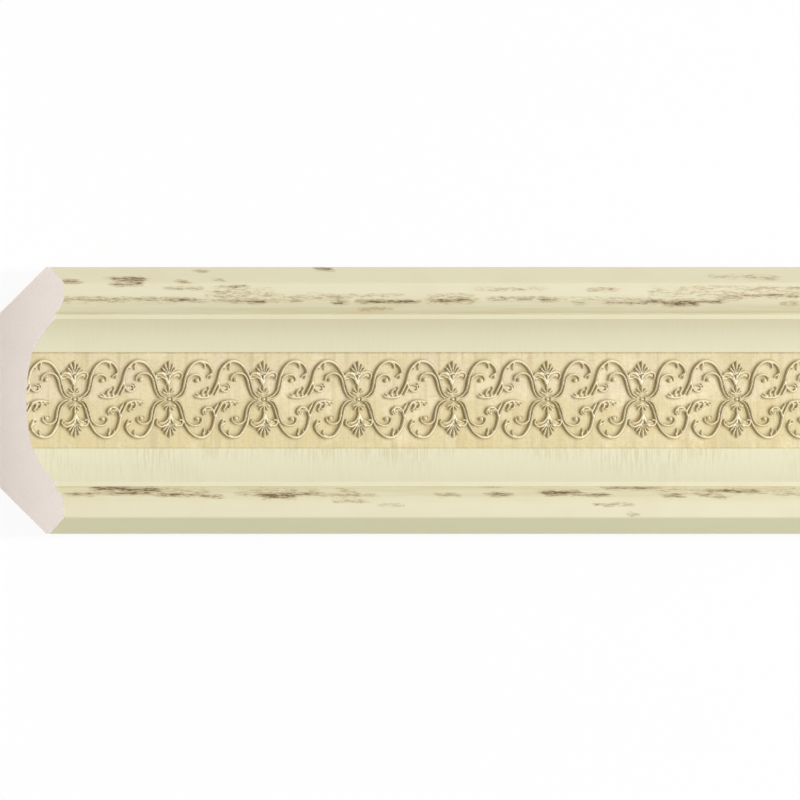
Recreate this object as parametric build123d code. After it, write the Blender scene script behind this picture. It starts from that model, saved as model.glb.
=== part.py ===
from build123d import *
import math
import os

# A length of embossed cornice moulding, drawn as it lies on its flat back: X runs along the length,
# Y across the decorated face and Z up out of it. The section is the same on both sides of Y = 0.
# The origin is on the back, under the middle of the length. All values are in millimetres.

# The stock and its section as a whole
LENGTH = 2400.0
PROJECTION = 76.0  # how far it reaches along the wall and along the ceiling
BACK_WIDTH = 70.3  # flat back between the two gluing faces
DEPTH = 25.9  # from the back to the crown of the rolls

# The lip: a narrow outer edge, then a face that slopes up nearly square to the gluing face
EDGE_FLAT = 1.6
LIP_CORNER_Y = 47.35  # where that face would meet the level of the crown
LIP_NOSE_RADIUS = 1.2

# The roll inside each lip: a flat crown that turns down to a quirk
ROLL_CROWN_INNER_Y = 43.2
ROLL_BASE_Y = 34.9
ROLL_BASE_Z = 22.0

# The fillet between the quirk and the cove
FILLET_OUTER_Y = 34.6
FILLET_OUTER_Z = 22.5
FILLET_INNER_Y = 32.8
FILLET_INNER_Z = 22.25
FILLET_ARRIS_RADIUS = 0.3

# The cove, hollowed by its sagitta, and the sunk band that carries the ornament
COVE_SAGITTA = 0.85
BAND_HALF_WIDTH = 19.3
BAND_STEP_RUN = 0.25
BAND_STEP = 0.5  # how far the band lies under the end of the cove
BAND_EDGE_Z = 12.9
BAND_MIDDLE_Z = 10.6

# Worked out from those: the gluing faces meet the wall and the ceiling, so they lie at 45 degrees
half_face = PROJECTION / math.sqrt(2)
half_back = BACK_WIDTH / 2
edge_low_z = half_face - half_back
edge_high_z = edge_low_z + EDGE_FLAT


def roll_arc_middle():
    """A point half way round the arc that leaves the crown level and comes down to the quirk."""
    run = ROLL_CROWN_INNER_Y - ROLL_BASE_Y
    drop = DEPTH - ROLL_BASE_Z
    radius = (run**2 + drop**2) / (2 * drop)
    half_turn = math.asin(run / radius) / 2
    return (
        ROLL_CROWN_INNER_Y - radius * math.sin(half_turn),
        DEPTH - radius * (1 - math.cos(half_turn)),
    )


def draw_side(side):
    """One side of the outline, from the edge of the band round the lip to the back. side is 1 or -1."""

    def at(y, z):
        return side * y, z

    band_edge = at(BAND_HALF_WIDTH, BAND_EDGE_Z)
    cove_foot = at(BAND_HALF_WIDTH + BAND_STEP_RUN, BAND_EDGE_Z + BAND_STEP)
    cove_head = at(FILLET_INNER_Y, FILLET_INNER_Z)
    roll_base = at(ROLL_BASE_Y, ROLL_BASE_Z)
    crown_inner = at(ROLL_CROWN_INNER_Y, DEPTH)

    Line(band_edge, cove_foot)
    SagittaArc(cove_foot, cove_head, -side * COVE_SAGITTA)
    Polyline(cove_head, at(FILLET_OUTER_Y, FILLET_OUTER_Z), roll_base)
    ThreePointArc(roll_base, at(*roll_arc_middle()), crown_inner)
    Polyline(
        crown_inner,
        at(LIP_CORNER_Y, DEPTH),
        at(half_face, edge_high_z),
        at(half_face, edge_low_z),
        at(half_back, 0),
    )


def corners_at(sketch, y, z):
    """The section's two corners at y from its middle and z from its back, in the sketch's own plane."""
    return [v for v in sketch.vertices() if abs(abs(v.X) - y) < 0.01 and abs(v.Y - z) < 0.01]


def section():
    """The closed cross-section, on the YZ plane."""
    with BuildSketch(Plane.YZ) as sketch:
        with BuildLine():
            ThreePointArc(
                (-BAND_HALF_WIDTH, BAND_EDGE_Z), (0, BAND_MIDDLE_Z), (BAND_HALF_WIDTH, BAND_EDGE_Z)
            )
            draw_side(1)
            draw_side(-1)
            Line((-half_back, 0), (half_back, 0))
        make_face()
        fillet(corners_at(sketch, LIP_CORNER_Y, DEPTH), LIP_NOSE_RADIUS)
        fillet(corners_at(sketch, FILLET_INNER_Y, FILLET_INNER_Z), FILLET_ARRIS_RADIUS)
    return sketch.sketch


def cornice_moulding():
    """The whole length, one extruded piece."""
    return extrude(section(), amount=LENGTH / 2, both=True)


def main():
    os.makedirs("parts", exist_ok=True)
    piece = cornice_moulding()
    export_step(piece, "parts/cornice_moulding.step")
    print("section area mm2", round(piece.volume / LENGTH, 1), "volume litres", round(piece.volume / 1e6, 3))


main()
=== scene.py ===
import math
import random

import bpy
import numpy as np
from mathutils import Matrix, Vector


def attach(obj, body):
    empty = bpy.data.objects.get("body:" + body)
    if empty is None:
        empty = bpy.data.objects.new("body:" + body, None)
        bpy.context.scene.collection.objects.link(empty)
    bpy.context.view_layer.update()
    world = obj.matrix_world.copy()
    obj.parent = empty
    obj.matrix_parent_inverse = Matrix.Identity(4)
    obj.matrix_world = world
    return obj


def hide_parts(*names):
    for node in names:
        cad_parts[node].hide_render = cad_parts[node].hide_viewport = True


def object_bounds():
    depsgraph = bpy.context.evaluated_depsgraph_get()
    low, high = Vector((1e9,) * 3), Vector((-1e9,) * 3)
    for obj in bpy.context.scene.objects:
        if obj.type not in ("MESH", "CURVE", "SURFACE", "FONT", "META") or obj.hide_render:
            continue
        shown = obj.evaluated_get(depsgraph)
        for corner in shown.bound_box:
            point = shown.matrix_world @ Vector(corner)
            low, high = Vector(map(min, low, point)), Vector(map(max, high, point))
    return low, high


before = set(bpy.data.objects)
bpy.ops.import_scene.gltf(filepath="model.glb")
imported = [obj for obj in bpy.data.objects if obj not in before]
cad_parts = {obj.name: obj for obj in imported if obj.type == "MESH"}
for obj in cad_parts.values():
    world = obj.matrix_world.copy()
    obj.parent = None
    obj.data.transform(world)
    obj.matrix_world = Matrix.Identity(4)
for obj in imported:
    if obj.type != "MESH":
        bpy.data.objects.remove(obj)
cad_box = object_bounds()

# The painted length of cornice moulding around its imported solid. Everything is worked out in
# millimetres from the left end, and turned into metres in the shared frame when a mesh is made.
MM = 0.001

# The stock and its section, the same values as the solid's
LENGTH = 2400.0
PROJECTION = 76.0
BACK_WIDTH = 70.3
DEPTH = 25.9
EDGE_FLAT = 1.6
LIP_CORNER_Y = 47.35
LIP_NOSE_RADIUS = 1.2
ROLL_CROWN_INNER_Y = 43.2
ROLL_BASE_Y = 34.9
ROLL_BASE_Z = 22.0
FILLET_OUTER_Y = 34.6
FILLET_OUTER_Z = 22.5
FILLET_INNER_Y = 32.8
FILLET_INNER_Z = 22.25
COVE_SAGITTA = 0.85
BAND_HALF_WIDTH = 19.3
BAND_STEP_RUN = 0.25
BAND_STEP = 0.5
BAND_EDGE_Z = 12.9
BAND_MIDDLE_Z = 10.6

# How finely the outline is drawn: points on its arcs, and steps along its straight runs
COVE_POINTS = 10
ROLL_POINTS = 15
NOSE_POINTS = 4
CROWN_STEPS = 6
LIP_STEPS = 8

# The embossed repeat: 63 of them fill the length, and nine bays of seven make the pieces
REPEATS = 63
BAYS = 9
PITCH = LENGTH / REPEATS
PER_BAY = REPEATS // BAYS
ORNAMENT_TIP = 15.0  # how far the ornament reaches from its middle to either tip
ORNAMENT_BOW = 1.2  # how far its upper and lower tips lean back from the knot
ORNAMENT_RISE = 0.45  # the ornament's centre lies this far towards the upper lip
ORNAMENT_SHIFT = 0.3  # how far the knot lies from the middle of its repeat
RELIEF = 0.65  # height of the main stems above the band
RELIEF_LEAN = 0.4  # how far a crest leans towards the left end, for each millimetre of height

# The photograph: an end elevation and a face elevation joined along the cut end
PHOTO_PX = 800
FACE_PX = 266.8
FACE_CENTRE_PX = 400.4
FACE_WIDTH = PROJECTION * math.sqrt(2)
MM_PER_PX = FACE_WIDTH / FACE_PX


# Section

def arc_points(start, end, sagitta, count):
    """Points along a circular arc from start to end that bows sagitta to the right of the way."""
    start, end = np.array(start), np.array(end)
    chord = end - start
    half = np.linalg.norm(chord) / 2
    bow = abs(sagitta)
    radius = (half**2 + bow**2) / (2 * bow)
    along = chord / (2 * half)
    right = np.array([along[1], -along[0]]) * math.copysign(1, sagitta)
    centre = (start + end) / 2 - right * (radius - bow)
    spread = math.asin(min(1.0, half / radius))
    angles = np.linspace(-spread, spread, count)
    return [tuple(centre + radius * (math.sin(a) * along + math.cos(a) * right)) for a in angles]


def band_z(y):
    """Height of the sunk band's surface at y from its middle."""
    sagitta = BAND_EDGE_Z - BAND_MIDDLE_Z
    radius = (BAND_HALF_WIDTH**2 + sagitta**2) / (2 * sagitta)
    drop = np.sqrt(radius**2 - np.minimum(np.abs(y), BAND_HALF_WIDTH) ** 2)
    return BAND_MIDDLE_Z + radius - drop


def evenly(start, end, count):
    """Points on a straight run, without its end."""
    start, way = np.array(start), np.array(end) - np.array(start)
    return [tuple(start + way * i / count) for i in range(count)]


def curve_rows(points, kind):
    """Rows for a curve without its last point, sharp at its first."""
    return [(p, kind, i == 0) for i, p in enumerate(points[:-1])]


def upper_outline():
    """The section from the foot of the upper cove outwards round the lip to the back, as rows.

    Each row is (y, z, kind of face towards the next row, whether the row is a sharp corner)."""
    half_face = FACE_WIDTH / 2
    edge_low_z = half_face - BACK_WIDTH / 2
    edge_high_z = edge_low_z + EDGE_FLAT
    lip_turn = math.atan2(DEPTH - edge_high_z, half_face - LIP_CORNER_Y)
    cut_back = LIP_NOSE_RADIUS * math.tan(lip_turn / 2)
    nose_start = (LIP_CORNER_Y - cut_back, DEPTH)
    nose_end = (LIP_CORNER_Y + cut_back * math.cos(lip_turn), DEPTH - cut_back * math.sin(lip_turn))
    nose_sagitta = LIP_NOSE_RADIUS * (1 - math.cos(lip_turn / 2))
    crown_inner = (ROLL_CROWN_INNER_Y, DEPTH)
    roll_base = (ROLL_BASE_Y, ROLL_BASE_Z)
    half_chord = math.dist(roll_base, crown_inner) / 2
    radius = 2 * half_chord**2 / (DEPTH - ROLL_BASE_Z)
    roll_sagitta = radius - math.sqrt(radius**2 - half_chord**2)
    cove_foot = (BAND_HALF_WIDTH + BAND_STEP_RUN, BAND_EDGE_Z + BAND_STEP)
    cove_head = (FILLET_INNER_Y, FILLET_INNER_Z)
    fillet_outer = (FILLET_OUTER_Y, FILLET_OUTER_Z)
    edge_high, edge_low = (half_face, edge_high_z), (half_face, edge_low_z)
    rows = curve_rows(arc_points(cove_foot, cove_head, COVE_SAGITTA, COVE_POINTS), "cove")
    rows += [(cove_head, "cove", True), (fillet_outer, "roll", True)]
    rows += curve_rows(arc_points(roll_base, crown_inner, -roll_sagitta, ROLL_POINTS), "roll")
    smooth = evenly(crown_inner, nose_start, CROWN_STEPS)
    smooth += arc_points(nose_start, nose_end, -nose_sagitta, NOSE_POINTS)[:-1]
    smooth += evenly(nose_end, edge_high, LIP_STEPS)
    rows += [(p, "roll", False) for p in smooth]
    rows += [(edge_high, "roll", True), (edge_low, "back", True)]
    rows += [((BACK_WIDTH / 2, 0.0), "back", True)]
    return [(p[0], p[1], kind, sharp) for p, kind, sharp in rows]


def outline_rows():
    """The outline but for the band, from the upper cove's foot over the back to the lower's."""
    upper = upper_outline()
    rows = list(upper)
    for i in range(len(upper) - 1, -1, -1):
        y, z, _, sharp = upper[i]
        kind = upper[i - 1][2] if i else "band"
        rows.append((-y, z, kind, sharp))
    return rows


# Ornament

# The upper half of one repeat, as ribs about the knot at (0, 0): half-widths at the start, middle
# and end, height as a share of RELIEF, and the points of the centre-line in millimetres. The lower
# half is the same, turned half round.
STEMS = [
    ((0.22, 0.62, 0.42), 1.0, [
        (1.5, 0.45), (2.6, 0.95), (4.0, 1.9), (5.3, 3.4), (5.9, 5.4), (6.3, 7.5), (6.7, 9.5),
        (7.5, 11.5), (8.6, 13.3), (10.0, 14.7), (11.8, 15.3), (13.8, 15.1), (15.5, 14.2),
        (16.8, 12.7), (17.3, 11.1), (16.9, 9.7),
    ]),
    ((0.2, 0.48, 0.38), 0.9, [
        (1.7, 0.12), (3.6, 0.45), (5.2, 1.3), (6.3, 2.9), (6.9, 4.9), (7.2, 6.9), (7.7, 8.6),
        (8.9, 9.6), (10.4, 10.0), (11.8, 9.6), (12.7, 8.6), (12.7, 7.6),
    ]),
    ((0.22, 0.62, 0.42), 1.0, [
        (-1.4, 0.45), (-2.3, 1.0), (-3.5, 2.1), (-4.4, 3.8), (-5.1, 6.1), (-5.7, 8.3), (-6.4, 10.0),
        (-7.3, 11.6), (-8.7, 13.5), (-10.6, 14.9), (-12.6, 15.4), (-14.4, 15.0), (-16.1, 13.6),
        (-17.3, 11.9), (-18.0, 9.9), (-18.4, 8.0), (-18.9, 6.3), (-19.7, 4.6), (-20.5, 2.9),
        (-21.3, 1.4),
    ]),
    ((0.2, 0.48, 0.38), 0.9, [
        (-1.6, 0.12), (-2.9, 0.45), (-4.3, 1.25), (-5.2, 2.9), (-5.9, 4.9), (-6.3, 6.8),
        (-6.9, 8.5), (-7.9, 9.8), (-9.4, 10.5), (-11.0, 10.6), (-12.4, 9.9), (-13.2, 8.8),
        (-13.2, 7.8),
    ]),
]
LEAVES = [
    ((0.5, 0.45, 0.25), 0.85, [(17.0, 10.4), (16.2, 9.8), (15.5, 9.5), (15.2, 8.9)]),
    ((0.5, 0.45, 0.25), 0.85, [(17.0, 10.2), (16.7, 9.2), (16.4, 8.3)]),
    ((0.5, 0.5, 0.25), 0.8, [(12.6, 15.1), (13.8, 14.5), (14.2, 13.5), (14.1, 12.5)]),
    ((0.5, 0.5, 0.25), 0.8, [(-14.0, 15.0), (-13.7, 14.0), (-14.1, 13.0), (-14.0, 11.8)]),
    ((0.5, 0.45, 0.25), 0.75, [(-15.7, 14.0), (-16.0, 13.1), (-15.8, 12.4)]),
    ((0.5, 0.5, 0.35), 0.9, [
        (-20.9, 2.2), (-21.7, 1.3), (-23.1, 0.8), (-24.7, 0.7), (-26.5, 0.8), (-28.0, 1.4),
    ]),
    ((0.4, 0.4, 0.25), 0.8, [(-25.7, 1.0), (-26.5, 1.5), (-27.0, 2.4)]),
    ((0.4, 0.5, 0.3), 0.9, [(-24.0, 0.8), (-24.7, 1.7), (-24.7, 2.8), (-24.1, 3.7), (-23.2, 3.9)]),
    ((0.4, 0.5, 0.3), 0.9, [(-22.3, 1.0), (-22.8, 2.0), (-22.6, 3.2), (-22.0, 4.1), (-22.2, 5.0)]),
    ((0.5, 0.5, 0.35), 0.9, [
        (-18.4, 7.0), (-18.1, 5.5), (-17.4, 4.2), (-16.2, 3.3), (-14.9, 3.3), (-13.9, 4.1),
        (-13.6, 5.2), (-14.2, 6.2),
    ]),
    ((0.35, 0.4, 0.3), 0.85, [(-14.6, 3.6), (-14.3, 4.7), (-14.8, 5.6), (-15.6, 5.6)]),
    ((0.35, 0.4, 0.3), 0.8, [(-17.2, 4.9), (-16.4, 4.2), (-15.6, 4.1)]),
    ((0.35, 0.6, 0.3), 0.85, [(-17.9, 5.2), (-18.7, 3.4), (-19.7, 1.8)]),
    ((0.35, 0.45, 0.35), 0.85, [(-0.1, 3.9), (-0.2, 5.4), (-0.3, 7.4), (-0.2, 9.6)]),
    ((0.5, 0.5, 0.35), 0.9, [
        (-0.6, 6.9), (-1.3, 8.8), (-2.4, 10.0), (-3.8, 10.6), (-5.0, 10.2), (-5.5, 9.2),
        (-5.0, 8.3), (-4.1, 8.5),
    ]),
    ((0.5, 0.5, 0.3), 0.8, [(-0.6, 6.1), (-1.4, 7.9), (-2.5, 8.8), (-3.6, 8.9)]),
    ((0.5, 0.5, 0.35), 0.9, [
        (-0.4, 6.9), (0.1, 9.0), (1.2, 10.3), (2.8, 11.0), (4.3, 10.7), (5.1, 9.6), (4.7, 8.3),
    ]),
    ((0.5, 0.5, 0.3), 0.8, [(-0.3, 6.1), (0.4, 7.8), (1.5, 9.0), (3.0, 9.6), (4.1, 9.2)]),
]
# Low swellings that carry the palmettes' lobes and the leaf clusters
PADS = [
    ((1.0, 1.9, 0.6), 0.25, [(-0.2, 9.0), (-0.2, 11.2), (-0.2, 14.2)]),
    ((0.8, 1.2, 0.8), 0.3, [(-0.2, 1.6), (-0.2, 3.2)]),
    ((0.6, 0.9, 0.5), 0.3, [(-22.0, 1.8), (-24.0, 1.8), (-26.0, 1.5)]),
    ((0.6, 0.8, 0.6), 0.25, [(-17.2, 4.6), (-15.6, 4.6), (-14.6, 4.6)]),
    ((0.8, 0.9, 0.6), 0.3, [(-1.2, 8.2), (-2.8, 9.6), (-4.6, 9.6)]),
    ((0.8, 0.9, 0.6), 0.3, [(0.4, 8.4), (2.0, 9.8), (4.0, 9.9)]),
]
CUFF = ((0.2, 0.22, 0.2), 0.7, [(1.45, 0.8), (1.3, 0.0), (1.45, -0.8)])
# Fans of lobes: hub, where the lobes start, half-width, height, and each lobe's degrees from
# upright and length
PALMETTE = ((-0.2, 9.5), 0.9, 0.48, 0.95, [
    (-64, 3.4), (-41, 4.3), (-20, 5.2), (0, 6.2), (20, 5.2), (41, 4.3), (64, 3.4),
])
BUD = ((-0.1, 1.9), 0.5, 0.44, 0.85, [(-70, 2.8), (-36, 3.2), (0, 3.3), (36, 3.2), (70, 2.8)])
# Round beads: x, y, radius and height; and pits where glaze gathers: x, y and radius
BEADS = [(11.2, 7.6, 0.95, 1.35), (-11.4, 7.9, 0.95, 1.35), (0.25, 0.0, 0.55, 1.1)]
PITS = [
    (0.0, 0.0, 1.7), (-0.7, 14.4, 1.1), (-12.2, 7.7, 1.3), (10.5, 7.4, 1.3), (-24.6, 2.6, 1.2),
    (-15.0, 4.9, 1.0),
]
LINE_STEP = 0.08  # how finely a centre-line is drawn
LOBE_TAPER = (0.5, 0.8, 1.0)  # shares of a lobe's half-width at its start, middle and end

# The grid that the relief is drawn on, and the blurs and depths for its glaze and painted shadow
RASTER_NX = 384
RASTER_NY = 388
CREST = 0.2  # share of a rib's half-width that is its level crest
CREST_BLUR = 0.07  # rounds off the whole relief
SHADOW_SHIFT = 0.95  # how far the painted shadow falls to the left of the ribs, away from the light
SHADOW_BLUR = 1.0
SHADOW_DEPTH = 0.24  # how far below the shifted soft relief the painted shadow is at its darkest
GAP_BLUR = 0.3
GAP_DEPTH = 0.16  # how far below the soft relief the glaze in gaps between ribs is at its fullest
GAP_MOST = 0.8  # the most glaze that such a gap holds
PIT_RIM = 0.6  # share of RELIEF above which a pit leaves no glaze
PIT_GAIN = 1.4  # makes the glaze full over the inner part of a pit


def smooth_line(points):
    """A smooth curve through the points, sampled about every LINE_STEP."""
    p = np.array(points, float)
    if len(p) == 2:
        t = np.linspace(0, 1, max(2, int(math.dist(*p) / LINE_STEP)))[:, None]
        return p[0] * (1 - t) + p[1] * t
    padded = np.vstack([2 * p[0] - p[1], p, 2 * p[-1] - p[-2]])
    out = []
    for a, b, c, d in zip(padded, padded[1:], padded[2:], padded[3:]):
        count = max(3, int(np.linalg.norm(c - b) / LINE_STEP))
        t = np.linspace(0, 1, count, endpoint=False)[:, None]
        line = 2 * b + (c - a) * t
        line = line + (2 * a - 5 * b + 4 * c - d) * t**2
        out.append(0.5 * (line + (3 * b - a - 3 * c + d) * t**3))
    return np.vstack(out + [p[-1:]])


def lobes(hub, start, width, height, spokes):
    """A fan of drop-shaped lobes about a hub, as ribs."""
    out = []
    for degrees, reach in spokes:
        way = np.array([math.sin(math.radians(degrees)), math.cos(math.radians(degrees))])
        inner = np.array(hub) + way * start
        outer = np.array(hub) + way * (reach - width)
        widths = tuple(width * share for share in LOBE_TAPER)
        out.append((widths, height, [tuple(inner), tuple(outer)]))
    return out


def half_repeat():
    """Every rib of the upper half of a repeat."""
    return PADS + STEMS + LEAVES + lobes(*PALMETTE) + lobes(*BUD) + [CUFF]


def rib_profile(share):
    """Height across a rib, from 1 on its crest to 0 at its foot."""
    return 0.5 * (1 + np.cos(np.pi * np.clip((share - CREST) / (1 - CREST), 0, 1)))


class Relief:
    """Height of the ornament and its glaze and painted shadow over one repeat, on a fine grid."""

    def __init__(self):
        self.dx = PITCH / RASTER_NX
        self.dy = 2 * BAND_HALF_WIDTH / (RASTER_NY - 1)
        self.x = np.arange(RASTER_NX) * self.dx
        self.y = -BAND_HALF_WIDTH + np.arange(RASTER_NY) * self.dy
        self.height = np.zeros((RASTER_NY, RASTER_NX))
        for turn in (1, -1):
            for widths, height, points in half_repeat():
                turned = [(turn * x, turn * y) for x, y in points]
                self.draw_rib(widths, height * RELIEF, turned)
            for x, y, radius, height in BEADS:
                self.draw_bead(turn * x, turn * y, radius, height * RELIEF)
        self.height = self.blurred(self.height, CREST_BLUR)
        self.glaze_and_shadow = self.glaze_and_shadow_field()
        rise = np.roll(self.height, -1, 1) - np.roll(self.height, 1, 1)
        self.slope_x = rise / (2 * self.dx)
        self.slope_y = np.gradient(self.height, self.dy, axis=0)
        self.ground_slope = np.gradient(band_z(self.y), self.dy)[:, None] + 0 * self.height

    def place(self, points):
        """From millimetres about the knot to the grid's own x and y."""
        p = np.array(points, float)
        lean = ORNAMENT_BOW * (p[:, 1] / ORNAMENT_TIP) ** 2
        x = p[:, 0] - lean + ORNAMENT_SHIFT + PITCH / 2
        return np.column_stack([x, p[:, 1] + ORNAMENT_RISE])

    def raise_within(self, low, high, height, share_at):
        """Raises the grid to a rounded form between two corners, also across the repeat's ends.

        share_at says how far points lie from the form's middle, as a share of its half-width."""
        for shift in (-PITCH, 0.0, PITCH):
            i0 = max(0, int((low[0] + shift) / self.dx))
            i1 = min(RASTER_NX, int((high[0] + shift) / self.dx) + 2)
            j0 = max(0, int((low[1] + BAND_HALF_WIDTH) / self.dy))
            j1 = min(RASTER_NY, int((high[1] + BAND_HALF_WIDTH) / self.dy) + 2)
            if i0 < i1 and j0 < j1:
                px, py = np.meshgrid(self.x[i0:i1] - shift, self.y[j0:j1])
                part = self.height[j0:j1, i0:i1]
                np.maximum(part, height * rib_profile(share_at(px, py)), out=part)

    def draw_rib(self, widths, height, points):
        """A rounded rib along a smooth line, whose half-width runs through the three given."""
        line = self.place(smooth_line(points))
        steps = np.linalg.norm(np.diff(line, axis=0), axis=1)
        run = np.concatenate([[0], np.cumsum(steps)])
        half = np.interp(run / run[-1], [0, 0.5, 1], widths)

        def share_at(px, py):
            nearest = np.ones(px.shape)
            for (x, y), w in zip(line, half):
                np.minimum(nearest, ((px - x) ** 2 + (py - y) ** 2) / w**2, out=nearest)
            return np.sqrt(nearest)

        reach = max(widths)
        self.raise_within(line.min(0) - reach, line.max(0) + reach, height, share_at)

    def draw_bead(self, x, y, radius, height):
        """A round bead."""
        centre = self.place([(x, y)])[0]

        def share_at(px, py):
            return np.sqrt((px - centre[0]) ** 2 + (py - centre[1]) ** 2) / radius

        self.raise_within(centre - radius, centre + radius, height, share_at)

    def glaze_and_shadow_field(self):
        """Painted shadow behind the ribs, and glaze in narrow gaps and most of all in the pits."""
        # painted shadow: the soft relief moved left, away from the light, darkens behind each rib
        shadow_caster = np.roll(self.blurred(self.height, SHADOW_BLUR), -int(SHADOW_SHIFT / self.dx), 1)
        gaps = self.blurred(self.height, GAP_BLUR)
        glaze_and_shadow = np.clip((shadow_caster - self.height) / SHADOW_DEPTH, 0, 1)
        glaze_and_shadow = np.maximum(glaze_and_shadow, np.clip((gaps - self.height) / GAP_DEPTH, 0, GAP_MOST))
        px, py = np.meshgrid(self.x, self.y)
        bare = np.clip(1 - self.height / (PIT_RIM * RELIEF), 0, 1)
        for turn in (1, -1):
            for x, y, radius in PITS:
                cx, cy = self.place([(turn * x, turn * y)])[0]
                along = np.abs(np.mod(px - cx + PITCH / 2, PITCH) - PITCH / 2)
                far = np.sqrt(along**2 + (py - cy) ** 2) / radius
                glaze_and_shadow = np.maximum(glaze_and_shadow, np.clip(PIT_GAIN * (1 - far), 0, 1) * bare)
        return glaze_and_shadow

    def blurred(self, field, sigma):
        """A soft copy of a field, wrapped round along the length."""
        reach = max(1, int(3 * sigma / self.dx))
        offsets = np.arange(-reach, reach + 1)
        weights = np.exp(-((offsets * self.dx) ** 2) / (2 * sigma**2))
        weights /= weights.sum()
        soft = sum(w * np.roll(field, o, 1) for w, o in zip(weights, offsets))
        padded = np.pad(soft, ((reach, reach), (0, 0)), mode="edge")
        return sum(w * padded[reach + o: reach + o + RASTER_NY] for w, o in zip(weights, offsets))

    def sample(self, field, x, y):
        """A field's value at points, linear between the grid's."""
        fx = np.mod(x, PITCH) / self.dx
        fy = np.clip((y + BAND_HALF_WIDTH) / self.dy, 0, RASTER_NY - 1.001)  # j + 1 stays on it
        i, j = np.floor(fx).astype(int), np.floor(fy).astype(int)
        u, v = fx - i, fy - j
        i0, i1 = i % RASTER_NX, (i + 1) % RASTER_NX
        low = field[j, i0] * (1 - u) + field[j, i1] * u
        high = field[j + 1, i0] * (1 - u) + field[j + 1, i1] * u
        return low * (1 - v) + high * v


# One repeat of the band as a mesh: a grid of this many faces, thinned to a share of them
TILE_NX = 170
TILE_NY = 172
TILE_KEEP = 0.185
TILE_RECESS_PULL = 0.35  # sinks the glaze and painted shadow while the grid is thinned, to keep faces at its edges
THIN_GROUP_FACTOR = 0.0001  # small, so that the thinning still follows the form inside the group


def band_tile(relief):
    """One repeat of the embossed band: points in mm and triangles, alike at the left and right."""
    xs = np.linspace(0, PITCH, TILE_NX + 1)
    ys = np.linspace(-BAND_HALF_WIDTH, BAND_HALF_WIDTH, TILE_NY + 1)
    x, y = [g.ravel() for g in np.meshgrid(xs, ys)]
    pull = TILE_RECESS_PULL * relief.sample(relief.glaze_and_shadow, x, y)
    z = band_z(y) + relief.sample(relief.height, x, y) - pull
    index = np.arange(x.size).reshape(TILE_NY + 1, TILE_NX + 1)
    quads = np.stack([index[:-1, :-1], index[:-1, 1:], index[1:, 1:], index[1:, :-1]], -1)
    mesh = bpy.data.meshes.new("tile_grid")
    mesh.from_pydata(np.column_stack([x, y, z]).tolist(), [], quads.reshape(-1, 4).tolist())
    grid = bpy.data.objects.new("tile_grid", mesh)
    bpy.context.scene.collection.objects.link(grid)
    # only the inside is thinned, so that one tile's right edge is still the next one's left edge
    inner = grid.vertex_groups.new(name="inner")
    half_column = 0.5 * xs[1]
    inside = (x > half_column) & (x < PITCH - half_column)
    inner.add(np.flatnonzero(inside).tolist(), 1.0, "ADD")
    thin = grid.modifiers.new("thin", "DECIMATE")
    thin.ratio = TILE_KEEP
    thin.vertex_group = "inner"
    thin.vertex_group_factor = THIN_GROUP_FACTOR
    thin.use_collapse_triangulate = True
    ready = grid.evaluated_get(bpy.context.evaluated_depsgraph_get())
    kept = ready.to_mesh()
    out = np.empty(len(kept.vertices) * 3)
    kept.vertices.foreach_get("co", out)
    faces = [tuple(f.vertices) for f in kept.polygons]
    ready.to_mesh_clear()
    bpy.data.objects.remove(grid)
    bpy.data.meshes.remove(mesh)
    out = out.reshape(-1, 3)
    out[:, 2] = band_z(out[:, 1]) + relief.sample(relief.height, out[:, 0], out[:, 1])
    return out, faces


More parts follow.
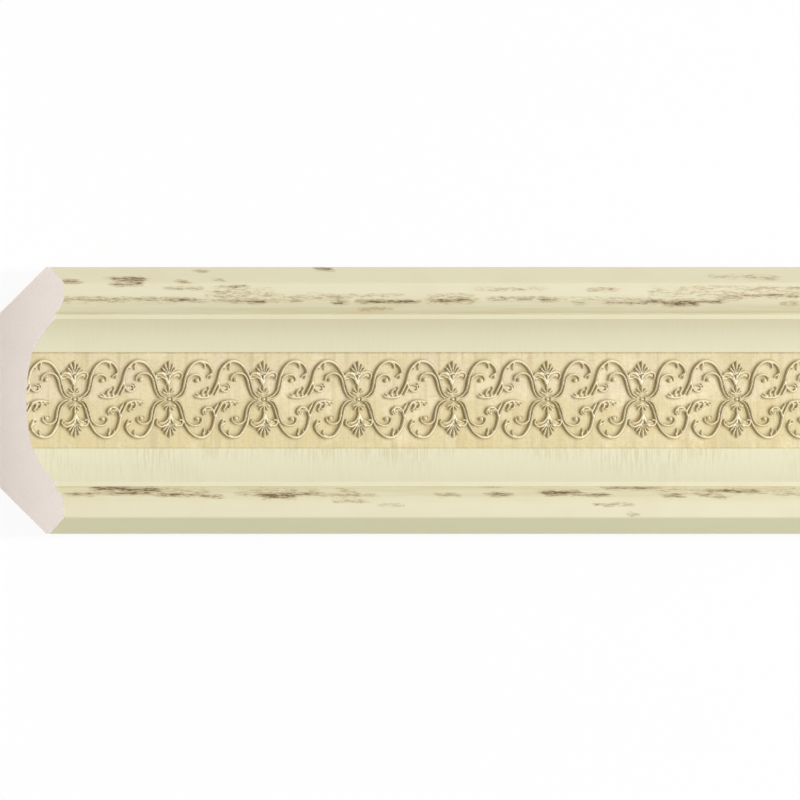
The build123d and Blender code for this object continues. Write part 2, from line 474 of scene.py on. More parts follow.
# Worn marks: where each starts and ends along the length, y from the middle, thickness and
# strength, as the photo shows them
MARKS_UPPER = [
    (-0.9, 5.5, 47.9, 1.2, 0.9), (20.7, 33.6, 48.9, 0.8, 1.0), (20.4, 25.3, 46.7, 0.6, 0.8),
    (27.3, 30.5, 47.5, 2.0, 0.8), (46.6, 49.8, 47.7, 0.4, 0.6), (40.6, 54.7, 45.1, 0.6, 0.5),
    (-0.5, 18.8, 40.8, 1.2, 0.6), (18.8, 41.0, 40.8, 1.0, 0.6), (41.8, 51.9, 40.6, 0.4, 0.8),
    (63.5, 72.8, 45.9, 0.6, 0.6), (60.7, 74.8, 43.5, 1.2, 0.5), (69.4, 80.3, 40.2, 1.2, 0.7),
    (76.4, 80.4, 39.8, 1.2, 0.9), (55.3, 95.6, 40.2, 0.4, 0.5), (93.2, 113.3, 41.4, 1.2, 0.45),
    (110.0, 113.2, 39.4, 0.8, 0.9), (119.9, 142.0, 39.8, 0.6, 0.9), (113.2, 135.4, 42.3, 0.8, 0.4),
    (150.8, 158.0, 40.2, 1.4, 0.9), (159.1, 165.1, 40.6, 1.2, 0.8), (147.4, 163.6, 42.3, 0.8, 0.4),
    (171.9, 196.0, 41.0, 0.8, 0.6), (192.1, 196.9, 40.6, 0.6, 0.8), (218.7, 236.9, 39.4, 0.8, 0.6),
    (232.7, 264.9, 39.8, 0.8, 0.7), (243.1, 255.2, 39.0, 1.6, 0.9), (264.4, 270.5, 41.4, 1.6, 0.6),
    (270.3, 296.5, 42.3, 1.2, 0.7), (279.5, 286.3, 45.1, 0.8, 0.6), (292.4, 296.4, 45.1, 0.8, 0.6),
    (278.7, 288.0, 49.1, 0.8, 0.4), (208.1, 209.7, 39.0, 0.6, 0.5), (291.4, 295.5, 39.0, 0.8, 0.6),
    (107.1, 111.9, 52.9, 0.8, 0.8), (58.6, 83.0, 42.8, 4.2, 0.34), (0.0, 46.0, 40.5, 2.2, 0.3),
    (87.0, 107.0, 41.6, 3.0, 0.28), (147.0, 164.5, 40.4, 2.4, 0.5), (107.0, 114.0, 41.8, 1.6, 0.4),
    (122.0, 132.0, 36.8, 0.5, 0.5), (166.0, 193.0, 44.9, 0.6, 0.38), (212.0, 222.0, 44.6, 0.8, 0.5),
    (249.0, 275.0, 45.6, 1.0, 0.36), (263.0, 289.0, 49.8, 1.2, 0.36),
    (196.0, 236.0, 40.8, 1.4, 0.3), (62.0, 64.0, 48.5, 0.5, 0.5), (57.0, 61.0, 52.0, 0.5, 0.4),
    (236.0, 296.0, 43.6, 4.0, 0.26),
]
MARKS_LOWER = [
    (3.7, 11.7, -37.9, 0.6, 0.7), (12.0, 22.1, -37.5, 0.4, 0.6), (15.6, 28.9, -35.5, 1.6, 0.9),
    (27.1, 41.2, -36.1, 1.6, 0.9), (22.1, 36.2, -37.5, 0.6, 0.8), (39.2, 49.3, -36.1, 0.8, 0.6),
    (39.8, 51.9, -38.1, 0.8, 0.8), (52.1, 58.2, -37.7, 0.6, 0.6), (57.7, 63.7, -38.7, 1.0, 0.8),
    (72.3, 79.5, -37.7, 1.2, 0.5), (80.8, 92.1, -38.3, 2.0, 1.0), (90.4, 96.5, -37.7, 0.8, 0.8),
    (92.4, 103.7, -37.7, 1.0, 0.8), (103.5, 126.4, -38.1, 0.4, 0.5),
    (113.7, 117.8, -36.1, 0.6, 0.5), (110.8, 115.7, -39.7, 0.6, 0.4),
    (151.8, 158.7, -38.1, 0.8, 0.6), (173.0, 177.8, -34.5, 0.6, 0.6),
    (172.9, 180.1, -37.9, 1.2, 0.8), (194.6, 208.7, -37.3, 1.6, 0.9),
    (212.3, 220.3, -38.1, 0.8, 0.8), (221.3, 241.4, -35.3, 0.8, 0.6),
    (243.2, 249.2, -38.3, 1.2, 0.8), (241.5, 259.6, -33.7, 0.8, 0.4),
    (257.4, 261.4, -38.1, 1.2, 0.6), (261.7, 280.6, -36.5, 1.2, 0.8),
    (263.0, 267.1, -38.9, 0.8, 0.7), (287.8, 297.9, -37.7, 0.8, 0.5),
    (215.1, 219.9, -42.1, 0.4, 0.5), (228.3, 229.9, -45.8, 1.2, 0.5),
    (110.0, 122.0, -40.5, 0.8, 0.45), (128.0, 135.0, -42.2, 0.6, 0.42),
    (219.0, 228.0, -41.8, 0.6, 0.5), (14.0, 60.0, -36.6, 3.0, 0.28),
    (74.0, 104.0, -36.4, 2.4, 0.28), (240.0, 298.0, -36.4, 2.6, 0.28),
]
MARKS_SEEN_TO = 300.0  # the photo shows this much of the length
MARK_MIN_THICKNESS = 1.0
MARK_SPREAD = 1.7  # the wear reaches this many times a mark's thickness, and by the halo
MARK_HALO = 0.45
MARK_FADE = 2.6  # how far past a mark's ends the wear fades out
SEED = 155


def all_marks():
    """The marks seen in the photo, and others like them over the rest of the length."""
    draw = random.Random(SEED)
    seen = MARKS_UPPER + MARKS_LOWER
    marks = list(seen)
    for window in range(1, int(LENGTH // MARKS_SEEN_TO)):
        for x0, x1, y, thickness, strength in seen:
            start = window * MARKS_SEEN_TO + draw.uniform(0, MARKS_SEEN_TO)
            end = start + (x1 - x0) * draw.uniform(0.6, 1.5)
            marks.append((start, end, y + draw.uniform(-0.5, 0.5),
                          thickness * draw.uniform(0.8, 1.3), strength * draw.uniform(0.7, 1.05)))
    return marks


def wear_along(x, y, marks):
    """How worn the paint is along a line at y: 1 within a strong mark, and 0 outside its reach."""
    wear = np.zeros(len(x))
    for x0, x1, mark_y, thickness, strength in marks:
        reach = MARK_SPREAD * max(thickness, MARK_MIN_THICKNESS) / 2 + MARK_HALO
        if abs(y - mark_y) < reach:
            along = np.maximum(np.maximum(x0 - x, x - x1), 0) / MARK_FADE
            across = abs(y - mark_y) / reach
            wear = np.maximum(wear, strength * np.clip(1 - np.sqrt(along**2 + across**2), 0, 1))
    return wear


# Bays

COLUMNS = 16  # across each repeat, on the plain strips
PAINTED, BARE = 0, 1  # material slots
TOUCH = 1e-4  # points nearer than this to an edge lie on it

# The map OFBake: the outline and the band below, the cut ends above
OUTLINE_UV = 0.72  # share of the map's height
UV_GAP = 1.0  # in millimetres, on either side of the band
BAND_UV_STRETCH = 1.05  # the embossed band's share, over its straight width
END_UV_MM = 260.0  # how many millimetres the whole map spans for a cut end
END_UV_AT = (0.5, 0.76)  # where the back's middle lies


class Bay:
    """Vertices, faces and what they carry, for one bay of the stock."""

    def __init__(self):
        self.points, self.normals, self.faces, self.face_slot = [], [], [], []
        self.uv, self.relief, self.glaze_and_shadow, self.wear = [], [], [], []
        self.sharp = set()

    def add(self, point, uv, normal=(0, 0, 0), relief=0.0, glaze_and_shadow=0.0, wear=0.0):
        self.points.append(point)
        self.normals.append(normal)
        self.uv.append(uv)
        self.relief.append(relief)
        self.glaze_and_shadow.append(glaze_and_shadow)
        self.wear.append(wear)
        return len(self.points) - 1

    def face(self, corners, slot=PAINTED):
        self.faces.append(tuple(int(c) for c in corners))
        self.face_slot.append(slot)

    def crease(self, chain):
        self.sharp.update((min(a, b), max(a, b)) for a, b in zip(chain, chain[1:]))


def zipper(bay, lower, upper):
    """Joins two chains of vertices that run along x, the first below the second."""
    i = j = 0
    while i < len(lower) - 1 or j < len(upper) - 1:
        next_low = bay.points[lower[i + 1]][0] if i < len(lower) - 1 else math.inf
        next_up = bay.points[upper[j + 1]][0] if j < len(upper) - 1 else math.inf
        if next_low <= next_up:
            bay.face((lower[i], lower[i + 1], upper[j]))
            i += 1
        else:
            bay.face((lower[i], upper[j + 1], upper[j]))
            j += 1


def band_into(bay, relief, tile, start, v_of):
    """Lays the embossed tiles side by side, sharing the vertices where they meet.

    Returns the chains of vertices along the band's lower, upper, left and right edges."""
    points, faces = tile
    x, y = points[:, 0], points[:, 1]
    along_x = relief.sample(relief.slope_x, x, y)
    along_y = relief.sample(relief.slope_y, x, y)
    ground = relief.sample(relief.ground_slope, x, y)
    upright = 1 - RELIEF_LEAN * along_x
    across = -upright * (along_y + ground) - RELIEF_LEAN * along_x * along_y
    normals = np.column_stack([-along_x, across, upright])
    normals /= np.linalg.norm(normals, axis=1)[:, None]
    height = relief.sample(relief.height, x, y) / RELIEF
    glaze_and_shadow = relief.sample(relief.glaze_and_shadow, x, y)
    left = sorted(np.flatnonzero(x < TOUCH), key=lambda k: y[k])
    right = sorted(np.flatnonzero(x > PITCH - TOUCH), key=lambda k: y[k])
    low = sorted(np.flatnonzero(y < TOUCH - BAND_HALF_WIDTH), key=lambda k: x[k])
    high = sorted(np.flatnonzero(y > BAND_HALF_WIDTH - TOUCH), key=lambda k: x[k])
    low_chain, high_chain, left_chain, shared = [], [], [], []
    for repeat in range(PER_BAY):
        number = dict(zip(left, shared))
        for k, point in enumerate(points):
            if k not in number:
                along = repeat * PITCH + point[0]
                leaned = max(start + along - RELIEF_LEAN * RELIEF * height[k], 0.0)
                if start + along > LENGTH - TOUCH:
                    leaned = LENGTH
                uv = (along / (PER_BAY * PITCH), v_of(point[1]))
                number[k] = bay.add((leaned, point[1], point[2]), uv, tuple(normals[k]),
                                    height[k], glaze_and_shadow[k])
        for face in faces:
            bay.face([number[k] for k in face])
        low_chain += [number[k] for k in low][1 if repeat else 0:]
        high_chain += [number[k] for k in high][1 if repeat else 0:]
        left_chain = left_chain or [number[k] for k in left]
        shared = [number[k] for k in right]
    return low_chain, high_chain, left_chain, shared


def close_end(bay, ring, far):
    """The cut end: a flat face on its own vertices, over a ring of the bay's."""
    copies = []
    for k in ring:
        x, y, z = bay.points[k]
        uv = (END_UV_AT[0] + y / END_UV_MM, END_UV_AT[1] + z / END_UV_MM)
        copies.append(bay.add((x, y, z), uv))
    bay.face(copies[::-1] if far else copies, BARE)


def add_bay(number, relief, tile, marks, materials):
    """One bay of the moulding as an object: the band, the rest of the outline, any cut end."""
    bay = Bay()
    start = number * PER_BAY * PITCH
    width = PER_BAY * PITCH
    rows = outline_rows()
    run = [0.0]
    for a, b in zip(rows, rows[1:]):
        run.append(run[-1] + math.dist(a[:2], b[:2]))
    band_run = 2 * BAND_HALF_WIDTH * BAND_UV_STRETCH
    scale = OUTLINE_UV / (run[-1] + band_run + 2 * UV_GAP)

    def v_of_band(y):
        share = (y + BAND_HALF_WIDTH) / (2 * BAND_HALF_WIDTH)
        return scale * (run[-1] + UV_GAP + share * band_run)

    low_chain, high_chain, left_chain, right_chain = band_into(bay, relief, tile, start, v_of_band)
    columns = np.linspace(0, width, PER_BAY * COLUMNS + 1)
    unworn = np.zeros(len(columns))
    grid = []
    for (y, z, kind, _), v in zip(rows, run):
        worn = wear_along(start + columns, y, marks) if kind == "roll" else unworn
        grid.append([bay.add((start + x, y, z), (x / width, scale * v), wear=w)
                     for x, w in zip(columns, worn)])
    for row, upper, (_, _, kind, _) in zip(grid, grid[1:], rows):
        slot = BARE if kind == "back" else PAINTED
        for k in range(len(columns) - 1):
            bay.face((row[k + 1], row[k], upper[k], upper[k + 1]), slot)
    zipper(bay, high_chain, grid[0])
    zipper(bay, grid[-1], low_chain)
    creases = [row for row, (_, _, _, sharp) in zip(grid, rows) if sharp]
    for chain in creases + [low_chain, high_chain]:
        bay.crease(chain)
    if number == 0:
        close_end(bay, [row[0] for row in grid] + left_chain, False)
    if number == BAYS - 1:
        close_end(bay, [row[-1] for row in grid] + right_chain, True)
    return make_object("moulding_bay_%d" % (number + 1), bay, materials)


def make_object(name, bay, materials):
    """The bay's mesh in the shared frame, in metres, with its creases, shading and attributes."""
    mesh = bpy.data.meshes.new(name)
    points = (np.array(bay.points) - [LENGTH / 2, 0, 0]) * MM
    mesh.from_pydata(points.tolist(), [], bay.faces)
    mesh.polygons.foreach_set("use_smooth", [True] * len(mesh.polygons))
    edges = np.empty(len(mesh.edges) * 2, int)
    mesh.edges.foreach_get("vertices", edges)
    pairs = [(min(a, b), max(a, b)) for a, b in edges.reshape(-1, 2).tolist()]
    mesh.edges.foreach_set("use_edge_sharp", [pair in bay.sharp for pair in pairs])
    loops = np.empty(len(mesh.loops), int)
    mesh.loops.foreach_get("vertex_index", loops)
    layer = mesh.uv_layers.new(name="OFBake")
    layer.uv.foreach_set("vector", np.array(bay.uv)[loops].ravel())
    for key, values in (("relief", bay.relief), ("glaze_and_shadow", bay.glaze_and_shadow), ("wear", bay.wear)):
        attribute = mesh.attributes.new(key, "FLOAT", "POINT")
        attribute.data.foreach_set("value", np.array(values, float))
    for material in materials:
        mesh.materials.append(material)
    mesh.polygons.foreach_set("material_index", bay.face_slot)
    mesh.normals_split_custom_set(np.array(bay.normals)[loops].tolist())
    mesh.update()
    piece = bpy.data.objects.new(name, mesh)
    bpy.context.scene.collection.objects.link(piece)
    return piece


# Materials

def srgb(*screen):
    """A colour given in 0 to 255 screen values, as linear light."""
    light = [((c / 255 + 0.055) / 1.055) ** 2.4 if c > 10 else c / 255 / 12.92 for c in screen]
    return (*light, 1.0)


class Nodes:
    """Short names for building a node tree."""

    def __init__(self, name):
        self.material = bpy.data.materials.new(name)
        self.material.use_nodes = True
        self.tree = self.material.node_tree
        self.tree.nodes.clear()
        self.out = self.tree.nodes.new("ShaderNodeOutputMaterial")
        self.coords = self.tree.nodes.new("ShaderNodeTexCoord").outputs["Object"]
        self.split = self.tree.nodes.new("ShaderNodeSeparateXYZ")
        self.put(self.split.inputs[0], self.coords)

    def put(self, socket, value):
        if isinstance(value, bpy.types.NodeSocket):
            self.tree.links.new(value, socket)
        else:
            socket.default_value = value

    def attribute(self, name):
        node = self.tree.nodes.new("ShaderNodeAttribute")
        node.attribute_name = name
        return node.outputs["Fac"]

    def upright(self):
        """Coordinates whose planes of equal X stand upright in the slanted view."""
        node = self.tree.nodes.new("ShaderNodeCombineXYZ")
        x, z = self.split.outputs["X"], self.split.outputs["Z"]
        self.put(node.inputs["X"], self.math("ADD", x, z))
        self.put(node.inputs["Y"], self.split.outputs["Y"])
        return node.outputs[0]

    def scaled(self, x, y, z, base=None):
        node = self.tree.nodes.new("ShaderNodeMapping")
        self.put(node.inputs["Vector"], base or self.coords)
        node.inputs["Scale"].default_value = (x, y, z)
        return node.outputs["Vector"]

    def noise(self, vector, scale, detail=2.0, roughness=0.5):
        node = self.tree.nodes.new("ShaderNodeTexNoise")
        self.put(node.inputs["Vector"], vector)
        node.inputs["Scale"].default_value = scale
        node.inputs["Detail"].default_value = detail
        node.inputs["Roughness"].default_value = roughness
        return node.outputs["Fac"]

    def math(self, kind, a, b=0.0):
        node = self.tree.nodes.new("ShaderNodeMath")
        node.operation = kind
        self.put(node.inputs[0], a)
        self.put(node.inputs[1], b)
        return node.outputs[0]

    def times(self, first, *factors):
        for factor in factors:
            first = self.math("MULTIPLY", first, factor)
        return first

    def ramp(self, value, low, high, to_low=0.0, to_high=1.0, smooth=True):
        node = self.tree.nodes.new("ShaderNodeMapRange")
        node.interpolation_type = "SMOOTHSTEP" if smooth else "LINEAR"
        self.put(node.inputs["Value"], value)
        ends = (("From Min", low), ("From Max", high), ("To Min", to_low), ("To Max", to_high))
        for name, v in ends:
            node.inputs[name].default_value = v
        return node.outputs["Result"]

    def span(self, place, low, high, to_low=0.0, to_high=1.0, smooth=True):
        """A ramp between two places given in millimetres."""
        return self.ramp(place, low * MM, high * MM, to_low, to_high, smooth)

    def mix(self, share, a, b):
        node = self.tree.nodes.new("ShaderNodeMix")
        node.data_type = "RGBA"
        self.put(node.inputs["Factor"], share)
        self.put(node.inputs["A"], a)
        self.put(node.inputs["B"], b)
        return node.outputs["Result"]

    def bump(self, height, distance, strength):
        node = self.tree.nodes.new("ShaderNodeBump")
        self.put(node.inputs["Height"], height)
        node.inputs["Distance"].default_value = distance
        node.inputs["Strength"].default_value = strength
        return node.outputs["Normal"]

    def surface(self, colour, roughness, specular, normal):
        node = self.tree.nodes.new("ShaderNodeBsdfPrincipled")
        self.put(node.inputs["Base Color"], colour)
        self.put(node.inputs["Roughness"], roughness)
        node.inputs["Specular IOR Level"].default_value = specular
        self.put(node.inputs["Normal"], normal)
        self.tree.links.new(node.outputs[0], self.out.inputs["Surface"])
        return self.material


# The plain paint, the band, glaze and painted light and shade, the worn places and the cut foam
CREAM = srgb(231, 225, 192)
CREAM_WARM = srgb(229, 217, 182)
# painted shade in the upper cove
UPPER_COVE_SHADE = srgb(226, 209, 170)
STAIN_DEEP = srgb(218, 205, 164)
# painted light on the coves
COVE_PAINTED_LIGHT = srgb(235, 232, 201)
COVE_STROKE = srgb(220, 211, 177)
# painted shade on the lower lip
LOW_LIP_SHADE = srgb(219, 217, 179)
BAND_GROUND = srgb(234, 220, 177)
BAND_LOW = srgb(227, 213, 165)
BAND_WARM = srgb(228, 206, 153)
BAND_LIGHT = srgb(244, 231, 192)
BAND_PINK = srgb(235, 217, 183)
BAND_OLIVE = srgb(222, 209, 162)
# paler crest paint with a painted highlight
RIB_PALE_AND_HIGHLIGHT = srgb(255, 246, 214)
# brown of the glaze, and of the painted shadow behind the ribs and shade at the band's edges
GLAZE_AND_SHADOW = srgb(156, 132, 78)
GLAZE_THIN = srgb(206, 186, 142)
WORN_PALE = srgb(192, 176, 142)
WORN_DARK = srgb(112, 92, 54)
FOAM = srgb(224, 214, 206)
FOAM_SOFT = srgb(219, 208, 199)
FOAM_GRAIN = srgb(202, 190, 180)


def paint_material():
    """Cream paint, glaze in the ornament, worn rolls, and painted light, shade and shadow."""
    n = Nodes("cream_paint")
    relief, glaze_and_shadow, wear = n.attribute("relief"), n.attribute("glaze_and_shadow"), n.attribute("wear")
    y = n.split.outputs["Y"]
    off_middle = n.math("ABSOLUTE", y)
    upper = n.span(y, -1, 1)
    in_band = n.span(off_middle, BAND_HALF_WIDTH, BAND_HALF_WIDTH + 0.1, 1.0, 0.0, smooth=False)
    in_cove = n.span(off_middle, FILLET_INNER_Y, FILLET_INNER_Y + 0.3, 1.0, 0.0)
    on_roll = n.span(off_middle, FILLET_OUTER_Y, ROLL_BASE_Y)
    on_low_lip = n.span(y, -LIP_CORNER_Y - 0.2, -LIP_CORNER_Y + 0.8, 1.0, 0.0)
    straight = n.upright()

    # the plain strips: warm clouds, fine strokes across the coves, long stains along the rolls
    clouds = n.ramp(n.noise(n.coords, 60.0, 3.0), 0.4, 0.75, 0.0, 0.5)
    colour = n.mix(clouds, CREAM, CREAM_WARM)
    strokes = n.noise(n.scaled(1000.0, 80.0, 1.0, straight), 1.0, 3.0, 0.7)
    patch = n.ramp(n.noise(n.scaled(30.0, 45.0, 45.0), 1.0, 1.0), 0.35, 0.6, 0.25, 1.0)
    stroked = n.times(in_cove, n.span(y, -31, -21, 0.3, 1.0), n.span(y, -1, 1, 1.0, 0.12))
    grain = n.times(stroked, patch, n.ramp(strokes, 0.42, 0.62))
    # painted light: the coves get a lighter, cooler cream than the rest of the paint
    colour = n.mix(n.times(in_cove, 0.8), colour, COVE_PAINTED_LIGHT)
    colour = n.mix(n.times(grain, 0.8), colour, COVE_STROKE)
    # painted shade: the upper cove darkens towards its fillet, under the upper roll
    under_upper_roll = n.times(upper, in_cove, n.span(off_middle, 24, FILLET_INNER_Y))
    colour = n.mix(n.times(under_upper_roll, 0.25), colour, UPPER_COVE_SHADE)
    # painted shade: the lower lip's chamfer is painted darker and greener
    colour = n.mix(n.times(on_low_lip, 0.9), colour, LOW_LIP_SHADE)
    inner_turn = n.times(on_roll, n.span(off_middle, 37.5, 41.5, 1.0, 0.15))
    long_stain = n.ramp(n.noise(n.scaled(22.0, 800.0, 800.0), 1.0, 3.0, 0.6), 0.42, 0.68)
    colour = n.mix(n.times(inner_turn, long_stain, 0.5), colour, STAIN_DEEP)

    # the band's ground: woven-looking stripes and patches
    stripes = n.noise(n.scaled(330.0, 16.0, 1.0, straight), 1.0, 4.0, 0.7)
    weave = n.noise(n.scaled(700.0, 900.0, 1.0, straight), 1.0, 2.0, 0.6)
    warm = n.ramp(n.noise(n.coords, 85.0, 3.0, 0.6), 0.42, 0.66)
    pink = n.ramp(n.noise(n.scaled(70.0, 80.0, 80.0), 1.3, 3.0, 0.6), 0.42, 0.66)
    light = n.ramp(n.noise(n.scaled(75.0, 50.0, 50.0), 0.8, 3.0, 0.6), 0.5, 0.66, 0.0, 0.8)
    olive = n.ramp(n.noise(n.scaled(50.0, 60.0, 60.0), 1.7, 2.0), 0.5, 0.7, 0.0, 0.7)
    ground = n.mix(n.span(y, -4, 4), BAND_LOW, BAND_GROUND)
    ground = n.mix(light, ground, BAND_LIGHT)
    ground = n.mix(n.times(warm, n.math("SUBTRACT", 1.0, upper), 0.8), ground, BAND_WARM)
    ground = n.mix(n.times(pink, upper, 0.8), ground, BAND_PINK)
    ground = n.mix(olive, ground, BAND_OLIVE)
    ground = n.mix(n.ramp(stripes, 0.47, 0.68, 0.0, 0.5), ground, GLAZE_THIN)
    ground = n.mix(n.ramp(weave, 0.45, 0.7, 0.0, 0.35), ground, GLAZE_THIN)
    colour = n.mix(in_band, colour, ground)

    # the ribs' pale crests, a thin dark line along either edge of the band, glaze and painted
    # shadow
    # the crests are paler paint and carry a painted highlight
    colour = n.mix(n.times(in_band, n.ramp(relief, 0.3, 0.95, 0.0, 0.85)), colour, RIB_PALE_AND_HIGHLIGHT)
    # glaze and painted shade at the foot of the band's step, heavier along the upper edge
    edge = n.times(in_band, n.span(off_middle, BAND_HALF_WIDTH - 0.7, BAND_HALF_WIDTH))
    edge = n.times(edge, n.ramp(stripes, 0.3, 0.6, 0.5, 1.0), n.span(y, -1, 1, 0.35, 0.7))
    colour = n.mix(edge, colour, GLAZE_AND_SHADOW)
    # glaze in gaps and pits, and painted shadow on the ground to the left of each rib
    colour = n.mix(n.ramp(glaze_and_shadow, 0.14, 0.95, 0.0, 0.82), colour, GLAZE_AND_SHADOW)

    # the worn rolls: a stain round each mark, pale undercoat within it, and bare dark at its heart
    streak = n.noise(n.scaled(240.0, 1400.0, 1400.0), 1.0, 6.0, 0.75)
    crumb = n.noise(n.scaled(520.0, 2900.0, 2900.0), 1.0, 3.0, 0.6)
    ragged = n.math("ADD", n.times(wear, 0.9), n.times(n.math("SUBTRACT", streak, 0.5), 2.2))
    ragged = n.math("ADD", ragged, n.times(n.math("SUBTRACT", crumb, 0.5), 0.9))
    reach = n.ramp(wear, 0.02, 0.2)
    bare = n.times(reach, n.ramp(ragged, 0.5, 0.78, 0.0, 0.9))
    colour = n.mix(n.times(reach, n.ramp(ragged, -0.1, 0.3, 0.0, 0.6)), colour, STAIN_DEEP)
    colour = n.mix(n.times(reach, n.ramp(ragged, 0.24, 0.4, 0.0, 0.8)), colour, WORN_PALE)
    colour = n.mix(bare, colour, WORN_DARK)

    fine = n.noise(n.coords, 2600.0, 2.0)
    height = n.math("ADD", n.times(fine, 0.25), n.times(grain, 0.7))
    height = n.math("SUBTRACT", height, n.times(bare, 0.8))
    return n.surface(colour, 0.6, 0.2, n.bump(height, 0.1 * MM, 0.6))


def foam_material():
    """The bare cut of the foamed plastic: pale, matt and finely grained."""
    n = Nodes("cut_foam")
    grain = n.noise(n.coords, 1500.0, 3.0, 0.6)
    soft = n.noise(n.coords, 120.0, 2.0)
    colour = n.mix(n.ramp(soft, 0.3, 0.7, 0.0, 0.4), FOAM, FOAM_SOFT)
    colour = n.mix(n.ramp(grain, 0.35, 0.65, 0.25, 0.0), colour, FOAM_GRAIN)
    return n.surface(colour, 0.85, 0.15, n.bump(grain, 0.1 * MM, 0.5))


def floor_material():
    """A pale floor that the camera sees as white, but for the object's soft shadow."""
    n = Nodes("floor")
    rays = n.tree.nodes.new("ShaderNodeLightPath")
    seen = n.math("MAXIMUM", rays.outputs["Is Camera Ray"], rays.outputs["Is Glossy Ray"])
    seen = n.math("MAXIMUM", seen, rays.outputs["Is Transmission Ray"])
    matt = n.tree.nodes.new("ShaderNodeBsdfDiffuse")
    matt.inputs["Color"].default_value = (FLOOR_MATT, FLOOR_MATT, FLOOR_MATT, 1)
    white = n.tree.nodes.new("ShaderNodeEmission")
    white.inputs["Strength"].default_value = 1.0
    both = n.tree.nodes.new("ShaderNodeMixShader")
    n.put(both.inputs[0], n.times(seen, FLOOR_WHITE))
    n.tree.links.new(matt.outputs[0], both.inputs[1])
    n.tree.links.new(white.outputs[0], both.inputs[2])
    n.tree.links.new(both.outputs[0], n.out.inputs["Surface"])
    return n.material


# Stage, light and camera, in metres

FLOOR_REACH = 12.0
FLOOR_GAP = 0.0002  # how far the floor lies under the piece
FLOOR_MATT = 0.92
FLOOR_WHITE = 0.93  # how much of the floor's look to the camera is plain white
SKY = 0.495
SKY_TOWARDS = (-0.20, 0.10, 0.05)  # the sky's strength grows by this towards each axis
SUN_STRENGTH = 2.6
SUN_FROM = (0.79, 0.045, 0.60)
SUN_ANGLE = 4.0
END_LAMP_POWER = 0.27
END_LAMP_SIZE = (0.30, 0.05)
END_LAMP_AWAY = 0.22
TOP_LAMP_POWER = 0.13
TOP_LAMP_SIZE = (0.30, 0.30)
TOP_LAMP_AT = (0.42, 0.0, 0.30)  # from the cut end's foot
CAMERA_HEIGHT = 2.0
CAMERA_SLANT = math.sqrt(0.5)


def add_floor(ground):
    mesh = bpy.data.meshes.new("floor")
    corners = [(-1, -1, 0), (1, -1, 0), (1, 1, 0), (-1, 1, 0)]
    mesh.from_pydata((FLOOR_REACH * np.array(corners)).tolist(), [], [(0, 1, 2, 3)])
    mesh.materials.append(floor_material())
    floor = bpy.data.objects.new("floor", mesh)
    floor.location = (0, 0, ground - FLOOR_GAP)
    bpy.context.scene.collection.objects.link(floor)


def add_sun():
    """A low sun from the photo's right."""
    lamp = bpy.data.lights.new("sun", "SUN")
    lamp.energy = SUN_STRENGTH
    lamp.angle = math.radians(SUN_ANGLE)
    sun = bpy.data.objects.new("sun", lamp)
    sun.rotation_euler = Vector(SUN_FROM).to_track_quat("Z", "Y").to_euler()
    bpy.context.scene.collection.objects.link(sun)


def add_panel(name, power, size, place, towards):
    """A soft lamp that the camera doesn't see, shining along towards."""
    panel = bpy.data.lights.new(name, "AREA")
    panel.shape = "RECTANGLE"
    panel.size, panel.size_y = size
    panel.energy = power
    lamp = bpy.data.objects.new(name, panel)
    lamp.location = place
    lamp.rotation_euler = Vector(towards).to_track_quat("-Z", "Y").to_euler()
    lamp.visible_camera = lamp.visible_glossy = False
    bpy.context.scene.collection.objects.link(lamp)


def add_panels(ground):
    """One soft lamp on the cut end, and one above the face near it."""
    end_x = -LENGTH / 2 * MM
    low = (end_x - END_LAMP_AWAY, 0, ground + END_LAMP_SIZE[1] / 2)
    high = (end_x + TOP_LAMP_AT[0], TOP_LAMP_AT[1], ground + TOP_LAMP_AT[2])
    add_panel("end_lamp", END_LAMP_POWER, END_LAMP_SIZE, low, (1, 0, 0))
    add_panel("top_lamp", TOP_LAMP_POWER, TOP_LAMP_SIZE, high, (0, 0, -1))


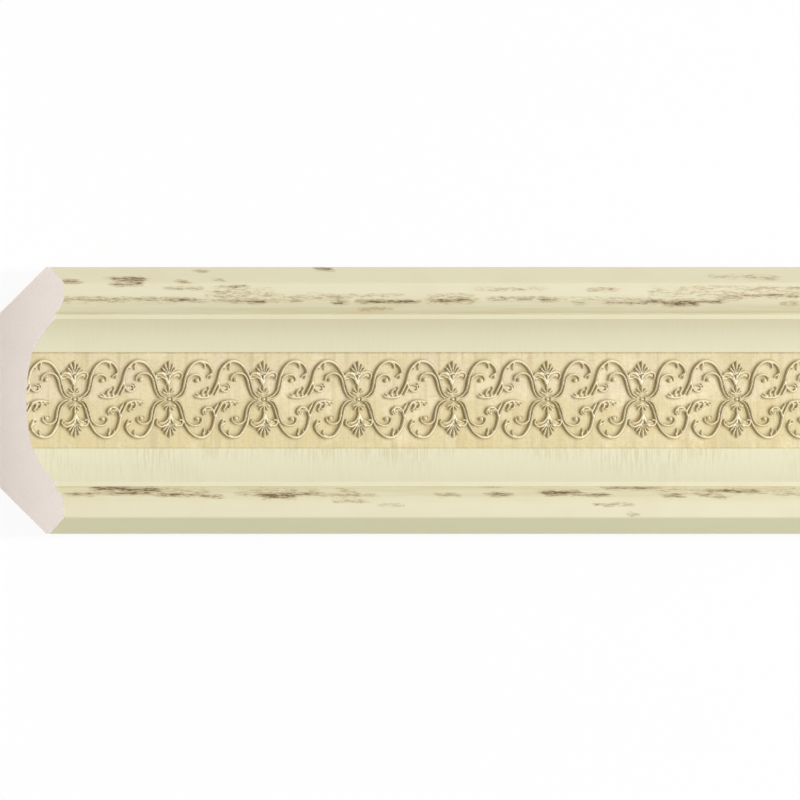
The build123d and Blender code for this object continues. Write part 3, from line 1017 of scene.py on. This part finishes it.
def add_sky():
    """A soft sky, brighter to one side, that the camera sees as white."""
    world = bpy.data.worlds.new("sky")
    bpy.context.scene.world = world
    world.use_nodes = True
    tree = world.node_tree
    tree.nodes.clear()
    coords = tree.nodes.new("ShaderNodeTexCoord")
    dot = tree.nodes.new("ShaderNodeVectorMath")
    dot.operation = "DOT_PRODUCT"
    dot.inputs[1].default_value = SKY_TOWARDS
    add = tree.nodes.new("ShaderNodeMath")
    add.inputs[1].default_value = SKY
    sky = tree.nodes.new("ShaderNodeBackground")
    white = tree.nodes.new("ShaderNodeBackground")
    white.inputs["Strength"].default_value = 1.0
    rays = tree.nodes.new("ShaderNodeLightPath")
    both = tree.nodes.new("ShaderNodeMixShader")
    out = tree.nodes.new("ShaderNodeOutputWorld")
    tree.links.new(coords.outputs["Generated"], dot.inputs[0])
    tree.links.new(dot.outputs["Value"], add.inputs[0])
    tree.links.new(add.outputs[0], sky.inputs["Strength"])
    tree.links.new(rays.outputs["Is Camera Ray"], both.inputs[0])
    tree.links.new(sky.outputs[0], both.inputs[1])
    tree.links.new(white.outputs[0], both.inputs[2])
    tree.links.new(both.outputs[0], out.inputs["Surface"])


def add_camera():
    """An oblique camera: the face stays a true elevation while the depth runs off to the left.

    That is how the photo joins the cut end to the face. The slant sits in the parent's inverse,
    so any other view that clears the parent is an ordinary one."""
    slant = bpy.data.objects.new("oblique", None)
    bpy.context.scene.collection.objects.link(slant)
    lens = bpy.data.cameras.new("camera")
    lens.type = "ORTHO"
    lens.ortho_scale = PHOTO_PX * MM_PER_PX * MM
    lens.clip_start, lens.clip_end = 0.01, 50.0
    camera = bpy.data.objects.new("camera", lens)
    bpy.context.scene.collection.objects.link(camera)
    camera.parent = slant
    camera.matrix_parent_inverse = Matrix((
        (1, 0, -CAMERA_SLANT, 0), (0, 1, 0, 0), (0, 0, CAMERA_SLANT, 0), (0, 0, 0, 1)))
    half = PHOTO_PX / 2
    along = (half * MM_PER_PX - LENGTH / 2) * MM
    across = (FACE_CENTRE_PX - half) * MM_PER_PX * MM
    camera.location = (along, across, CAMERA_HEIGHT)
    bpy.context.scene.camera = camera


def dress():
    """The whole moulding, bay by bay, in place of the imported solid."""
    materials = (paint_material(), foam_material())
    relief = Relief()
    tile = band_tile(relief)
    marks = all_marks()
    for number in range(BAYS):
        piece = add_bay(number, relief, tile, marks, materials)
        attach(piece, "root")
        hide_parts("cornice_moulding")


scene = bpy.context.scene
scene.view_settings.view_transform = "Standard"
scene.render.resolution_x = scene.render.resolution_y = PHOTO_PX
dress()
add_floor(cad_box[0][2])
add_sun()
add_panels(cad_box[0][2])
add_sky()
add_camera()
